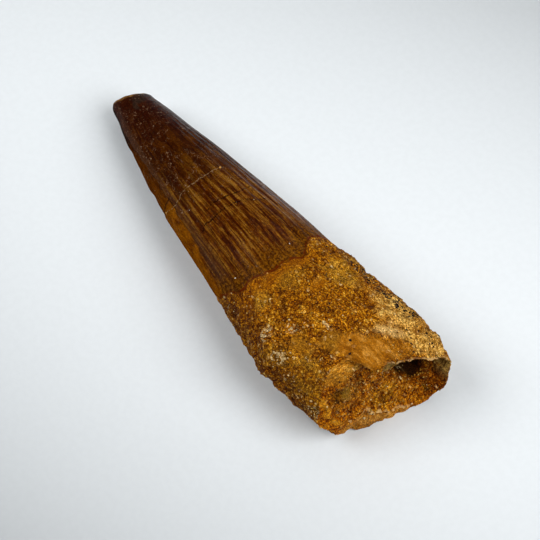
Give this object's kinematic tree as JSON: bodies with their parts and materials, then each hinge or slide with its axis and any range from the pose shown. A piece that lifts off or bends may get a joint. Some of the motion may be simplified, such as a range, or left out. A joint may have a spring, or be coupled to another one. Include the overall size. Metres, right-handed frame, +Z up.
{
  "type": "fossil tooth",
  "caption": "Fossil spinosaurus tooth with a tapering fluted crown, a rough sandy root and an open, partly filled pulp cavity.",
  "frame": {"origin": "middle of the bounding box, on the surface that the tooth lies on", "axes": "+X from the tip to the broken root end, +Y away from the worn cutting edge, +Z up"},
  "size_m": [0.0762, 0.0264, 0.0169],
  "materials": {
    "fossil": "glossy streaked brown enamel on the crown, rough ochre sandstone crust on the root"
  },
  "bodies": {
    "root": {"tooth": "fossil"}
  },
  "joints": []
}
